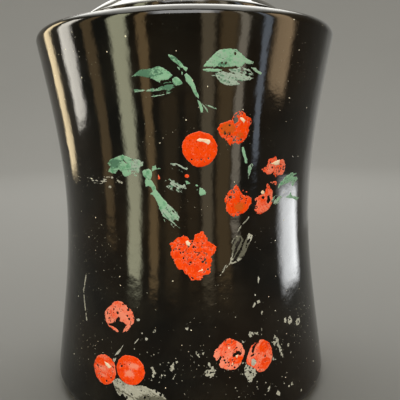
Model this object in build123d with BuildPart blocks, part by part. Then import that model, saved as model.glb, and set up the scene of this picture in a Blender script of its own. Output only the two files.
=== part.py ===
# Waisted biscuit jar: a slip-cast, glazed earthenware jar and its domed lift-off lid.
# Millimetres, +Z up. The origin is on the jar's axis, in the plane that its foot ring stands on.
# Each piece is a thin shell turned about Z, drawn as a half section in the XZ plane.
import os
from math import acos, atan2, cos, degrees, hypot, radians, sin, sqrt, tan

from build123d import *

os.makedirs("parts", exist_ok=True)

# ---------------------------------------------------------------- jar: outside
body_height = 212.0           # foot ring to the flat land that carries the lid
foot_radius = 87.0            # widest radius at the foot
shoulder_radius = 87.0        # widest radius at the shoulder
waist_radius = 76.3           # narrowest outside radius
waist_height = 119.0          # height of the waist, a little above half way
foot_flare = 8.0              # degrees that the wall leans out at the foot
shoulder_flare = 10.0         # degrees that the wall leans out below the shoulder
foot_corner = 8.0             # rounding between the foot ring and the wall
shoulder_corner = 5.0         # rounding between the wall and the shoulder
shoulder_rise = 5.0           # degrees that the shoulder climbs towards the lid

# ---------------------------------------------------------------- jar: inside
wall = 5.5                    # thickness of the cast wall and shoulder
floor_thickness = 6.0         # thickness of the floor over the recess
floor_corner = 12.0           # inside rounding between floor and wall, where slip gathers
ceiling_corner = 6.0          # inside rounding between wall and shoulder
mouth_radius = 54.0           # the round opening that a hand goes through
mouth_edge_round = 1.4        # both edges of the mouth, softened before glazing

# ---------------------------------------------------------------- jar: underside
foot_ring_width = 8.0         # the flat that stands on the shelf, in from the rounded corner
recess_depth = 3.0            # the hollow inside the foot ring, which keeps glaze off the kiln shelf
recess_slope = 3.0            # how far the recess wall leans in over its depth
recess_round = 1.2

# ---------------------------------------------------------------- lid
brim_radius = 62.0            # the brim that lies on the land
land_margin = 1.5             # land left showing outside the brim
brim_thickness = 5.5
brim_round = 2.0              # upper and lower edges of the brim
dome_rise = 21.0              # brim's upper edge to the crown of the dome
lid_wall = 5.5
lid_play = 1.5                # gap between the locating flange and the mouth, all round
flange_depth = 12.0           # reach of the locating flange below the land
flange_thickness = 4.5
flange_round = 1.4            # lower edges of the flange
flange_root_round = 4.0       # inside rounding between flange and dome

# ---------------------------------------------------------------- knob, cast in one with the lid
knob_radius = 17.5
knob_side_round = 8.5         # the button's rounded side
knob_crown_height = 11.0      # middle of the rounded side to the top
neck_radius = 10.5
neck_height = 8.0             # crown of the dome to the lowest point of the button
neck_root_round = 6.0         # sweep from the dome into the neck
neck_top_round = 2.0          # neck into the button

black_glaze = Color(0.02, 0.02, 0.02)


# ---------------------------------------------------------------- places worked out from these
foot_arc_x = foot_radius - foot_corner * cos(radians(foot_flare))
shoulder_arc_x = shoulder_radius - shoulder_corner * cos(radians(shoulder_flare))
foot_ring_inner_radius = foot_arc_x - foot_ring_width
land_radius = brim_radius + land_margin
flange_radius = mouth_radius - lid_play
floor_top = recess_depth + floor_thickness


def shoulder_top(radius):
    """Height of the sloping shoulder outside the land."""
    return body_height - (radius - land_radius) * tan(radians(shoulder_rise))


shoulder_arc_end_x = shoulder_arc_x + shoulder_corner * sin(radians(shoulder_rise))
shoulder_arc_z = shoulder_top(shoulder_arc_end_x) - shoulder_corner * cos(radians(shoulder_rise))
shoulder_arc_bottom = shoulder_arc_z - shoulder_corner * sin(radians(shoulder_flare))
mouth_bottom = body_height - wall / cos(radians(shoulder_rise))

# the floor's inside rounding ends against the leaning wall, one wall thickness in from the outside
foot_arc_top = foot_corner * (1 + sin(radians(foot_flare)))
floor_arc_z = floor_top + floor_corner
floor_arc_top = floor_arc_z + floor_corner * sin(radians(foot_flare))
wall_above_floor = foot_radius - (floor_arc_top - foot_arc_top) * tan(radians(foot_flare))
floor_arc_x = wall_above_floor - wall / cos(radians(foot_flare)) - floor_corner * cos(radians(foot_flare))

# the rounding under the shoulder touches two lines one wall thickness in: the leaning wall and the
# sloping ceiling. Its centre is where two lines cross that run ceiling_corner further in than these:
# x = centre_line_x + z * lean, and z = centre_line_z - x * slope
lean, slope = tan(radians(shoulder_flare)), tan(radians(shoulder_rise))
centre_line_x = shoulder_radius - shoulder_arc_bottom * lean
centre_line_x -= (wall + ceiling_corner) / cos(radians(shoulder_flare))
centre_line_z = mouth_bottom + land_radius * slope - ceiling_corner / cos(radians(shoulder_rise))
ceiling_arc_z = (centre_line_z - centre_line_x * slope) / (1 + lean * slope)
ceiling_arc_x = centre_line_x + ceiling_arc_z * lean


def rings_at(part, radius, height):
    """The part's edges that run round Z at a radius and a height."""

    def distance_off(edge):
        points = (edge @ 0, edge @ 0.3, edge @ 0.6)
        return max(hypot(hypot(point.X, point.Y) - radius, point.Z - height) for point in points)

    return part.edges().filter_by(lambda edge: distance_off(edge) < 0.01)


# ---------------------------------------------------------------- the jar
with BuildPart() as jar:
    with BuildSketch(Plane.XZ):
        with BuildLine():
            foot_arc = CenterArc((foot_arc_x, foot_corner), foot_corner, -90, 90 + foot_flare)
            shoulder_arc = CenterArc(
                (shoulder_arc_x, shoulder_arc_z),
                shoulder_corner,
                -shoulder_flare,
                90 - shoulder_rise + shoulder_flare,
            )
            Spline(
                foot_arc @ 1,
                (waist_radius, waist_height),
                shoulder_arc @ 0,
                tangents=(foot_arc % 1, shoulder_arc % 0),
            )
            Polyline(shoulder_arc @ 1, (land_radius, body_height), (0, body_height), (0, 0), foot_arc @ 0)
        make_face()
    revolve(axis=Axis.Z)

    # the hollow: its wall and ceiling lie one wall thickness inside the outside
    with BuildSketch(Plane.XZ):
        with BuildLine():
            floor_arc = CenterArc((floor_arc_x, floor_arc_z), floor_corner, -90, 90 + foot_flare)
            ceiling_arc = CenterArc(
                (ceiling_arc_x, ceiling_arc_z),
                ceiling_corner,
                -shoulder_flare,
                90 - shoulder_rise + shoulder_flare,
            )
            Spline(
                floor_arc @ 1,
                (waist_radius - wall, waist_height),
                ceiling_arc @ 0,
                tangents=(floor_arc % 1, ceiling_arc % 0),
            )
            Polyline(
                ceiling_arc @ 1,
                (land_radius, mouth_bottom),
                (mouth_radius, mouth_bottom),
                (mouth_radius, body_height),
                (0, body_height),
                (0, floor_top),
                floor_arc @ 0,
            )
        make_face()
    revolve(axis=Axis.Z, mode=Mode.SUBTRACT)

    # the recess under the floor
    with BuildSketch(Plane.XZ):
        with BuildLine():
            Polyline(
                (0, 0),
                (foot_ring_inner_radius, 0),
                (foot_ring_inner_radius - recess_slope, recess_depth),
                (0, recess_depth),
                close=True,
            )
        make_face()
    revolve(axis=Axis.Z, mode=Mode.SUBTRACT)

    fillet(rings_at(jar, mouth_radius, body_height), mouth_edge_round)
    fillet(rings_at(jar, mouth_radius, mouth_bottom), mouth_edge_round)
    fillet(rings_at(jar, foot_ring_inner_radius, 0), recess_round)
    fillet(rings_at(jar, foot_ring_inner_radius - recess_slope, recess_depth), recess_round)

jar.part.label = "jar"
jar.part.color = black_glaze
export_step(jar.part, "parts/jar.step")


# ---------------------------------------------------------------- the lid
brim_top = body_height + brim_thickness
dome_top = brim_top + dome_rise
dome_radius = (brim_radius**2 + dome_rise**2) / (2 * dome_rise)
dome_centre = dome_top - dome_radius
neck_root = dome_centre + sqrt(dome_radius**2 - neck_radius**2)

# the button's side is an arc, and its crown a wider arc that leaves the side without a corner
side_x = knob_radius - knob_side_round
side_z = dome_top + neck_height + knob_side_round
knob_top = side_z + knob_crown_height
crown_drop = knob_crown_height - knob_side_round
crown_radius = (side_x**2 + knob_crown_height**2 - knob_side_round**2) / (2 * crown_drop)
side_end = degrees(atan2(crown_radius - knob_crown_height, side_x))
side_start = -degrees(acos((neck_radius - side_x) / knob_side_round))

flange_bottom = body_height - flange_depth
flange_inner_radius = flange_radius - flange_thickness
dome_inner_radius = dome_radius - lid_wall
flange_root = dome_centre + sqrt(dome_inner_radius**2 - flange_inner_radius**2)

with BuildPart() as lid:
    with BuildSketch(Plane.XZ):
        with BuildLine():
            button_side = CenterArc((side_x, side_z), knob_side_round, side_start, side_end - side_start)
            button_crown = RadiusArc(button_side @ 1, (0, knob_top), -crown_radius)
            rim = Polyline(
                button_crown @ 1,
                (0, flange_bottom),
                (flange_radius, flange_bottom),
                (flange_radius, body_height),
                (brim_radius, body_height),
                (brim_radius, brim_top),
            )
            dome = RadiusArc(rim @ 1, (neck_radius, neck_root), -dome_radius)
            neck = Line(dome @ 1, button_side @ 0)
        make_face()
    revolve(axis=Axis.Z)

    # the hollow underneath
    with BuildSketch(Plane.XZ):
        with BuildLine():
            inner_dome = RadiusArc(
                (flange_inner_radius, flange_root), (0, dome_centre + dome_inner_radius), -dome_inner_radius
            )
            Polyline(
                inner_dome @ 1,
                (0, flange_bottom),
                (flange_inner_radius, flange_bottom),
                inner_dome @ 0,
            )
        make_face()
    revolve(axis=Axis.Z, mode=Mode.SUBTRACT)

    fillet(rings_at(lid, neck_radius, neck_root), neck_root_round)
    fillet(rings_at(lid, neck_radius, (neck @ 1).Y), neck_top_round)
    fillet(rings_at(lid, flange_inner_radius, flange_root), flange_root_round)
    fillet(rings_at(lid, flange_inner_radius, flange_bottom), flange_round)
    fillet(rings_at(lid, flange_radius, flange_bottom), flange_round)
    fillet(rings_at(lid, brim_radius, body_height), brim_round)
    fillet(rings_at(lid, brim_radius, brim_top), brim_round)

lid.part.label = "lid"
lid.part.color = black_glaze
export_step(lid.part, "parts/lid.step")

for piece in (jar.part, lid.part):
    box = piece.bounding_box()
    print(f"{piece.label}: {piece.volume / 1000:.1f} cm3, z {box.min.Z:.2f} to {box.max.Z:.2f} mm")
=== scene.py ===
# %% [markdown]
# A waisted biscuit jar in black glazed earthenware, with a loose domed lid and a spray of cherries
# painted over the glaze after firing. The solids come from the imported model, which stays the fixed
# frame. This lesson dresses them: it turns the two shells again with the slight unevenness of cast
# clay, gives them a glaze, and lays the worn paint on top as thin skins of its own.
#
# Everything is in metres, with the jar's axis on Z, its foot on Z = 0 and its painted front at -Y.
# The sizes of jar, lid and paint are named in millimetres, and turned into metres in their meshes.

from math import atan2, cos, degrees, pi, radians, sin, sqrt, tan

import bpy
import numpy as np
from mathutils import Euler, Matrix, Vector


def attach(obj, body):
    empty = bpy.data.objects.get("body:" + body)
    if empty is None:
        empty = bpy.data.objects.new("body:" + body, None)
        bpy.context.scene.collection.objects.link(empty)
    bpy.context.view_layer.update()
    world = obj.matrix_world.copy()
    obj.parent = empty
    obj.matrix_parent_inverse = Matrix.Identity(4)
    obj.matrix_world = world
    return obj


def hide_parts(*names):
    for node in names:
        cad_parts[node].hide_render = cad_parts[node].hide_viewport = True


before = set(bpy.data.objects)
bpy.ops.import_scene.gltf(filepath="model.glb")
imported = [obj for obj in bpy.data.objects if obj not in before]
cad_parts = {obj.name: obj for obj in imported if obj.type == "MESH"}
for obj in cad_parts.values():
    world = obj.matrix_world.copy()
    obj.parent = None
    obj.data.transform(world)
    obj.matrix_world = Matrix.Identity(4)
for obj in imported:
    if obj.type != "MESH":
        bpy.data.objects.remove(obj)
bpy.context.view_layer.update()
MM = 0.001

# %% [markdown]
# The camera looks at the painted front from close by, a little above the middle of the jar, and tips
# down ten degrees, so that the waist shows against the wide foot and the lid runs out of the frame.
# The lens could be chosen first, but a near view is known by how much the two ends of the jar widen,
# so the distance came first and the lens followed from how large the jar is in the frame.

# %% Camera
LENS, SENSOR = 40.5, 36.0   # millimetres
EYE_BACK = 0.289          # from the jar's axis
EYE_HEIGHT = 0.1605
EYE_TIP = 10.0            # degrees down
EYE_ROLL = -1.08          # degrees that the camera leans
SIDE_SHIFT = 0.031        # the jar stands left of the middle by this share of the width

camera = bpy.data.objects.new("camera", bpy.data.cameras.new("camera"))
bpy.context.scene.collection.objects.link(camera)
camera.data.lens = LENS
camera.data.sensor_width = SENSOR
camera.data.shift_x = SIDE_SHIFT
camera.location = (0, -EYE_BACK, EYE_HEIGHT)
aim = Euler((radians(90 - EYE_TIP), 0, 0)).to_matrix() @ Euler((0, 0, radians(EYE_ROLL))).to_matrix()
camera.rotation_euler = aim.to_euler()
camera.data.clip_start = 0.01
bpy.context.scene.camera = camera
bpy.context.scene.view_settings.view_transform = "Standard"
print("camera at", tuple(camera.location))

# %% [markdown]
# A black glaze has almost no colour of its own: what the eye reads as its shape is what it mirrors.
# One big lamp would leave a shapeless glare, so the work is shared out. A large soft key hangs high in
# front, where an upright wall can't mirror it, and lights the paint. A box overhead lights the floor,
# another is turned to the wall behind, and a wide ceiling shows as a bright line along the rounded
# shoulder. Tall narrow boxes stand in a ring round the jar, and their mirror images run down the wall
# as long bands that bend with the waist. A low card at the right shows as a short pale patch.
#
# The key lights the shells and the paint. The ceiling, the ring and the card light the two glazed
# shells alone, as if flags on stands kept them off the floor and the paint. These boxes fade towards
# their edges, as a lamp behind cloth does, so that a mirror image has no hard border.

# %% Soft boxes
studio = bpy.context.scene.collection
glazed = bpy.data.collections.new("glazed")
dressed = bpy.data.collections.new("dressed")
studio.children.link(glazed)
studio.children.link(dressed)
SIDE_FADE = 0.3           # share of a box's width over which each side fades
END_FADE = 0.02           # metres over which each end fades


def add(tree, kind, output=0, inputs=None, **settings):
    """Adds a shader node. Its inputs are numbers, colours or other nodes' outputs, by name."""
    node = tree.nodes.new("ShaderNode" + kind)
    for key, value in settings.items():
        setattr(node, key, value)
    for key, value in (inputs or {}).items():
        if isinstance(value, bpy.types.NodeSocket):
            tree.links.new(value, node.inputs[key])
        else:
            node.inputs[key].default_value = value
    return node.outputs[output]


def calc(tree, operation, first, second=0.0):
    """One step of arithmetic with two values."""
    return add(tree, "Math", inputs={0: first, 1: second}, operation=operation)


def soft_box(name, place, aim, width, tall, glow, tint=(1, 1, 1), only_on=None, fade=0.0):
    """A lamp hidden from the camera. Its glow is the brightness of its face, which can fade outwards."""
    lamp = bpy.data.lights.new(name, "AREA")
    lamp.shape = "RECTANGLE"
    lamp.size, lamp.size_y = width, tall
    lamp.energy = glow * pi * width * tall
    lamp.color = tint
    box = bpy.data.objects.new(name, lamp)
    box.location = place
    box.rotation_euler = (Vector(aim) - Vector(place)).to_track_quat("-Z", "Y").to_euler()
    box.visible_camera = False
    studio.objects.link(box)
    box.light_linking.receiver_collection = only_on
    if fade:
        lamp.use_nodes = True
        tree = lamp.node_tree
        strength = 1.0
        for axis, border in (("X", fade), ("Y", END_FADE / tall)):
            face = add(tree, "SeparateXYZ", axis, {"Vector": add(tree, "NewGeometry", "Parametric")})
            limits = {"Value": calc(tree, "PINGPONG", face, 0.5), "From Max": border}
            soft = add(tree, "MapRange", inputs=limits, interpolation_type="SMOOTHSTEP")
            strength = calc(tree, "MULTIPLY", strength, soft)
        tree.links.new(strength, tree.nodes["Emission"].inputs["Strength"])


soft_box("key", (0, -1.35, 1.05), (0, 0, 0.11), 1.5, 0.8, 9.6, only_on=dressed, fade=0.25)
soft_box("overhead", (0, 0.55, 1.25), (0, 0.45, 0), 1.6, 0.9, 1.35)
soft_box("ceiling", (0, 0.35, 1.4), (0, 0.35, 0), 2.6, 2.2, 5.2, (1, 0.99, 0.92), glazed, SIDE_FADE)
soft_box("backdrop", (0, 0.55, 1.5), (0, 2.0, 0.5), 1.8, 0.5, 2.7)

RING = 0.43               # metres from the axis
RING_GLOW = 1.25          # raises the whole ring
PLAIN_LIGHT, CREAM_LIGHT = (1, 1, 0.95), (1.0, 0.80, 0.48)
OLIVE_LIGHT, AMBER_LIGHT = (1.0, 0.99, 0.66), (1.0, 0.66, 0.30)
# each box of the ring: the angle where it stands, counted from the front and positive to the right,
# how many degrees it is wide, its lower and upper end in metres, its glow and its tint
ring = [
    (-160, 12, 0.03, 0.50, 1.4, PLAIN_LIGHT),
    (-109, 15, 0.06, 0.50, 5.0, CREAM_LIGHT),
    (-86, 18, 0.09, 0.50, 9.0, (1.0, 0.95, 0.84)),
    (-65, 12, 0.02, 0.50, 1.3, AMBER_LIGHT),
    (-43, 15, 0.0, 0.50, 7.5, OLIVE_LIGHT),
    (-27, 9, 0.0, 0.50, 2.6, AMBER_LIGHT),
    (-12, 16, 0.0, 0.10, 0.45, AMBER_LIGHT),
    (4, 12, 0.0, 0.10, 0.3, AMBER_LIGHT),
    (15, 12, 0.0, 0.50, 1.8, (1.0, 0.80, 0.50)),
    (28, 16, 0.0, 0.50, 1.2, AMBER_LIGHT),
    (38, 9, 0.02, 0.50, 3.8, (1.0, 0.88, 0.68)),
    (54, 7, 0.04, 0.50, 3.0, (0.72, 0.84, 1.0)),
    (68, 22, 0.10, 0.50, 4.2, (1.0, 0.70, 0.40)),
    (133, 36, 0.0, 0.50, 0.14, PLAIN_LIGHT),
    (168, 12, 0.03, 0.50, 1.2, PLAIN_LIGHT),
]
for count, (turn, wide, low, high, glow, tint) in enumerate(ring, start=1):
    spot = (RING * sin(radians(turn)), -RING * cos(radians(turn)))
    middle, width = (low + high) / 2, 2 * RING * tan(radians(wide / 2))
    soft_box(f"upright_{count}", (*spot, middle), (0, 0, middle), width, high - low,
             RING_GLOW * glow, tint, glazed, SIDE_FADE)
soft_box("low_card", (0.297, 0, 0.044), (0, 0, 0.044), 0.18, 0.085,
         11.0, (0.97, 0.99, 1.0), glazed, SIDE_FADE)

# %% [markdown]
# The floor is a pale sheet that curves up into a wall all the way round, like a shallow dish far
# larger than the jar. A flat plane would do from the front, but it ends in a hard horizon, and a
# sheet curved on one side only leaves the other views with none. The dish looks the same from every
# side, and the glaze mirrors it as a soft grey that gets darker upwards.

# %% Floor and surrounding wall
FLOOR_REACH = 1.3
SWEEP = 0.9               # radius of the curve between floor and wall
WALL_TOP = 2.4
PAPER_TINT, ROOM_TINT = (1.0, 0.985, 0.93, 1), (0.31, 0.30, 0.265, 1)


def new_material(name):
    """An empty node material: the material, its tree and its main shader's inputs."""
    material = bpy.data.materials.new(name)
    material.use_nodes = True
    tree = material.node_tree
    shader = next(node for node in tree.nodes if node.type == "BSDF_PRINCIPLED")
    return material, tree, shader.inputs


def ramp(tree, value, low, high, from_=0.0, to=1.0):
    """A value rescaled from one range to another, held at its ends."""
    limits = {"Value": value, "From Min": low, "From Max": high, "To Min": from_, "To Max": to}
    return add(tree, "MapRange", inputs=limits)


def arc(x, z, radius, start, end, steps):
    """Points on an arc of a half outline, from one angle to another in degrees, counted from +X."""
    turns = np.radians(np.linspace(start, end, steps))
    return [(x + radius * cos(turn), z + radius * sin(turn)) for turn in turns]


def level(z, *radii):
    """Points of a half outline that lie at one height."""
    return [(radius, z) for radius in radii]


def spin(name, outline, segments, scale=MM, uneven=None):
    """Turns a half outline round Z into a mesh. A point on the axis becomes one vertex."""
    turns = np.arange(segments) * 2 * pi / segments
    places, rings, faces = [], [], []
    for x, z in outline:
        if abs(x) < 1e-9:
            rings.append(np.full(segments, len(places)))
            places.append((0, 0, z * scale))
            continue
        radius = (x + (uneven(turns, z) if uneven else 0)) * scale
        ring = [radius * np.sin(turns), -radius * np.cos(turns), np.full(segments, z * scale)]
        rings.append(len(places) + np.arange(segments))
        places.extend(map(tuple, np.stack(ring, 1)))
    for low, high in zip(rings, rings[1:]):
        corners = np.stack([low, np.roll(low, -1), np.roll(high, -1), high], 1).tolist()
        faces += [list(dict.fromkeys(corner)) for corner in corners]
    mesh = bpy.data.meshes.new(name)
    mesh.from_pydata(places, [], faces)
    mesh.shade_smooth()
    thing = bpy.data.objects.new(name, mesh)
    studio.objects.link(thing)
    return thing


sweep_outline = level(0, 0, 0.4, 0.8) + arc(FLOOR_REACH, SWEEP, SWEEP, -90, 0, 24)
sweep_outline += [(FLOOR_REACH + SWEEP, WALL_TOP)]
floor = spin("floor", sweep_outline, 96, scale=1.0)
paper, tree, face = new_material("pale_paper")
tooth = add(tree, "TexNoise", inputs={"Scale": 6.0, "Detail": 3.0})
shade = ramp(tree, tooth, 0, 1, 0.50, 0.54)
warmth = add(tree, "CombineColor", inputs={"Red": shade, "Green": shade, "Blue": shade})
tinted = {0: 1.0, 6: warmth, 7: PAPER_TINT}
tree.links.new(add(tree, "Mix", 2, tinted, data_type="RGBA", blend_type="MULTIPLY"), face["Base Color"])
face["Roughness"].default_value = 0.9
floor.data.materials.append(paper)

sky = bpy.data.worlds.new("dim_room")
sky.use_nodes = True
sky.node_tree.nodes["Background"].inputs["Color"].default_value = ROOM_TINT
bpy.context.scene.world = sky
print("floor faces", len(floor.data.polygons))

# %% [markdown]
# The jar's shell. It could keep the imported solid's own mesh, but that one is cut into facets of
# uneven size, and a mirror finish shows each of them. So its half outline is drawn once more, from
# the same sizes, with arcs at the corners and one smooth wall that narrows to the waist, and spun
# round the axis on an even grid.

# %% Sizes of the jar
BODY_HEIGHT = 212.0
FOOT_RADIUS, SHOULDER_RADIUS = 87.0, 87.0
WAIST_RADIUS, WAIST_HEIGHT = 76.3, 119.0
FOOT_FLARE, SHOULDER_FLARE = 8.0, 10.0     # degrees that the wall leans out at its ends
FOOT_CORNER, SHOULDER_CORNER = 8.0, 5.0
SHOULDER_RISE = 5.0       # degrees that the shoulder climbs towards the lid
LAND_RADIUS, MOUTH_RADIUS, MOUTH_ROUND = 63.5, 54.0, 1.4
WALL, FLOOR_TOP, FLOOR_CORNER, CEILING_CORNER = 5.5, 9.0, 12.0, 6.0
INSIDE_TOP, INSIDE_FOOT = 190, 28          # heights between which the inside follows the wall
RING_WIDTH, RECESS_DEPTH, RECESS_SLOPE, RECESS_ROUND = 8.0, 3.0, 3.0, 1.2

lean, slope = tan(radians(SHOULDER_FLARE)), tan(radians(SHOULDER_RISE))


def shoulder_top(radius):
    """Height of the sloping shoulder outside the land."""
    return BODY_HEIGHT - (radius - LAND_RADIUS) * slope


foot_x = FOOT_RADIUS - FOOT_CORNER * cos(radians(FOOT_FLARE))
foot_top = FOOT_CORNER * (1 + sin(radians(FOOT_FLARE)))
ring_in = foot_x - RING_WIDTH
shoulder_x = SHOULDER_RADIUS - SHOULDER_CORNER * cos(radians(SHOULDER_FLARE))
slope_start = shoulder_x + SHOULDER_CORNER * sin(radians(SHOULDER_RISE))
shoulder_z = shoulder_top(slope_start) - SHOULDER_CORNER * cos(radians(SHOULDER_RISE))
wall_top = shoulder_z - SHOULDER_CORNER * sin(radians(SHOULDER_FLARE))
mouth_bottom = BODY_HEIGHT - WALL / cos(radians(SHOULDER_RISE))

# the rounding under the shoulder touches the wall's and the ceiling's inside
centre_line_x = SHOULDER_RADIUS - wall_top * lean - (WALL + CEILING_CORNER) / cos(radians(SHOULDER_FLARE))
centre_line_z = mouth_bottom + LAND_RADIUS * slope - CEILING_CORNER / cos(radians(SHOULDER_RISE))
ceiling_z = (centre_line_z - centre_line_x * slope) / (1 + lean * slope)
ceiling_x = centre_line_x + ceiling_z * lean
print(f"wall from {foot_top:.2f} to {wall_top:.2f} mm, shoulder arc at {shoulder_x:.2f}, {shoulder_z:.2f}")

# %% [markdown]
# The wall is two cubic stretches that meet at the waist, with the foot's and the shoulder's lean at
# their ends. Where they meet they share one slope, chosen so that the bend runs on without a jump:
# the eye finds such a jump at once in a streak of light.

# %% The wall's radius at a height
low_span, high_span = WAIST_HEIGHT - foot_top, wall_top - WAIST_HEIGHT
foot_lean, shoulder_lean = -tan(radians(FOOT_FLARE)), tan(radians(SHOULDER_FLARE))
fall, climb = (WAIST_RADIUS - FOOT_RADIUS) / low_span, (SHOULDER_RADIUS - WAIST_RADIUS) / high_span
waist_lean = 3 * (high_span * fall + low_span * climb) - high_span * foot_lean - low_span * shoulder_lean
waist_lean /= 2 * (low_span + high_span)


def stretch(share, span, start, start_lean, end, end_lean):
    """A cubic between two radii, each with its own lean; share runs from 0 to 1 along the span."""
    rise = start + span * share * start_lean
    turn = 3 * (end - start) - span * (2 * start_lean + end_lean)
    tail = 2 * (start - end) + span * (start_lean + end_lean)
    return rise + share**2 * turn + share**3 * tail


def wall_radius(height):
    """Outside radius of the jar's wall in mm, before any unevenness."""
    height = np.clip(height, foot_top, wall_top)
    low_share, high_share = (height - foot_top) / low_span, (height - WAIST_HEIGHT) / high_span
    below = stretch(low_share, low_span, FOOT_RADIUS, foot_lean, WAIST_RADIUS, waist_lean)
    above = stretch(high_share, high_span, WAIST_RADIUS, waist_lean, SHOULDER_RADIUS, shoulder_lean)
    return np.where(height < WAIST_HEIGHT, below, above)


print("radius at", {height: round(float(wall_radius(height)), 2) for height in (20, 60, 119, 160, 195)})

# %% [markdown]
# Cast clay is never true: the mould's halves, the sponge and the drying leave hollows as long as a
# finger or a hand and a fraction of a millimetre deep. They are too shallow to see as shape, but they
# make every reflection waver. Slow waves round and up the shell do this, all of them inward, so that
# the jar stays inside its solid.

# %% Unevenness of the shell
WAVES, DEEPEST = 16, 0.30   # how many, and mm
SHORTEST = 70             # mm from crest to crest up the wall
draw = np.random.default_rng(12)
wave_round = draw.integers(2, 13, WAVES)
wave_up = draw.uniform(-1, 1, WAVES) * 2 * pi / SHORTEST
wave_start = draw.uniform(0, 2 * pi, WAVES)
wave_size = 1 / (2.5 + wave_round)
wave_size /= wave_size.sum()


def unevenness(turn, height):
    """How far the clay lies inside its true radius, in mm, never above 0."""
    total = sum(size * np.cos(count * turn + up * height + start) for size, count, up, start
                in zip(wave_size, wave_round, wave_up, wave_start))
    return -DEEPEST * (0.5 + 0.5 * total)


sample = unevenness(np.linspace(0, 2 * pi, 400), 100.0)
print(f"unevenness at the waist from {sample.min():.3f} to {sample.max():.3f} mm")

# %% The jar's outline and mesh
corner_cut = RECESS_ROUND * tan(radians(22.5))
outside = level(RECESS_DEPTH, 0, 30, 60, 66)
outside += arc(ring_in - RECESS_SLOPE - corner_cut, RECESS_DEPTH - RECESS_ROUND, RECESS_ROUND, 90, 45, 4)
outside += arc(ring_in + corner_cut, RECESS_ROUND, RECESS_ROUND, 225, 270, 4) + level(0, 74, 78)
outside += arc(foot_x, FOOT_CORNER, FOOT_CORNER, -90, FOOT_FLARE, 14)
outside += [(float(wall_radius(z)), z) for z in np.linspace(foot_top, wall_top, 92)[1:-1]]
outside += arc(shoulder_x, shoulder_z, SHOULDER_CORNER, -SHOULDER_FLARE, 90 - SHOULDER_RISE, 16)
outside += [(radius, shoulder_top(radius)) for radius in (75, 69)]
# the land's edge is softened
outside += [(LAND_RADIUS + 0.8, BODY_HEIGHT - 0.1)] + level(BODY_HEIGHT, LAND_RADIUS - 1, 57)
mouth = arc(MOUTH_RADIUS + MOUTH_ROUND, BODY_HEIGHT - MOUTH_ROUND, MOUTH_ROUND, 90, 180, 7)
mouth += arc(MOUTH_RADIUS + MOUTH_ROUND, mouth_bottom + MOUTH_ROUND, MOUTH_ROUND, 180, 270, 7)
ceiling = [(60, mouth_bottom), (68, mouth_bottom - 0.6)]
ceiling += arc(ceiling_x, ceiling_z, CEILING_CORNER, 90 - SHOULDER_RISE, -SHOULDER_FLARE, 9)
inner_wall = [(float(wall_radius(z)) - WALL, z) for z in np.linspace(INSIDE_TOP, INSIDE_FOOT, 40)]
floor_x = inner_wall[-1][0] - FLOOR_CORNER * cos(radians(FOOT_FLARE))
floor_round = arc(floor_x, FLOOR_TOP + FLOOR_CORNER, FLOOR_CORNER, FOOT_FLARE, -90, 12)
inside = mouth + ceiling + inner_wall + floor_round + level(FLOOR_TOP, 50, 30, 12, 0)
jar = spin("glazed_jar", outside + inside, 256, uneven=unevenness)
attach(jar, "jar")
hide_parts("jar")
glazed.objects.link(jar)
dressed.objects.link(jar)
print("jar faces", len(jar.data.polygons))

# %% [markdown]
# The lid is cast as well, with its knob in one piece. Its outline runs from the top of the hollow
# down the flange that keeps it in the mouth, out along the brim that lies on the land, and over the
# dome to the knob. Lathing the knob apart and sticking it on would leave a seam where it is gripped.

# %% The lid's outline and mesh
LID_RADIUS, BRIM_TOP, BRIM_ROUND = 62.0, 217.5, 2.0
DOME_RISE = 21.0          # from the brim's upper edge to the crown of the dome
DOME_RADIUS = round((LID_RADIUS**2 + DOME_RISE**2) / (2 * DOME_RISE), 2)
DOME_CENTRE = round(BRIM_TOP + DOME_RISE - DOME_RADIUS, 2)
INNER_DOME = DOME_RADIUS - WALL
FLANGE_OUT, FLANGE_IN, FLANGE_BOTTOM, FLANGE_ROUND, ROOT_ROUND = 52.5, 48.0, 200.0, 1.4, 4.0
FLANGE_CORNER = 0.6       # where the flange meets the brim
LID_UNEVEN = 0.5          # share of the jar's unevenness, because a small casting dries truer
NECK, NECK_ROOT, NECK_TOP = 10.5, 6.0, 2.0
BUTTON_X, BUTTON_Z, BUTTON_ROUND = 9.0, 255.0, 8.5
BUTTON_TOP, CROWN = 266.0, 25.95   # the button's top, and the radius of its flatter crown


def against(x, radius):
    """Where a rounding that touches the dome has its centre: its height, and its angle from the dome's."""
    height = sqrt(radius**2 - x**2)
    return DOME_CENTRE + height, degrees(atan2(height, x))


root_z, root_turn = against(NECK + NECK_ROOT, DOME_RADIUS + NECK_ROOT)
inner_z, inner_turn = against(FLANGE_IN - ROOT_ROUND, INNER_DOME - ROOT_ROUND)
brim_z, brim_turn = against(LID_RADIUS - BRIM_ROUND, DOME_RADIUS - BRIM_ROUND)
neck_x = NECK + NECK_TOP
neck_z = BUTTON_Z - sqrt((BUTTON_ROUND + NECK_TOP) ** 2 - (neck_x - BUTTON_X) ** 2)
neck_turn = degrees(atan2(BUTTON_Z - neck_z, BUTTON_X - neck_x))
crown_z = BUTTON_TOP - CROWN
crown_turn = degrees(atan2(BUTTON_Z - crown_z, BUTTON_X))

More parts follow.
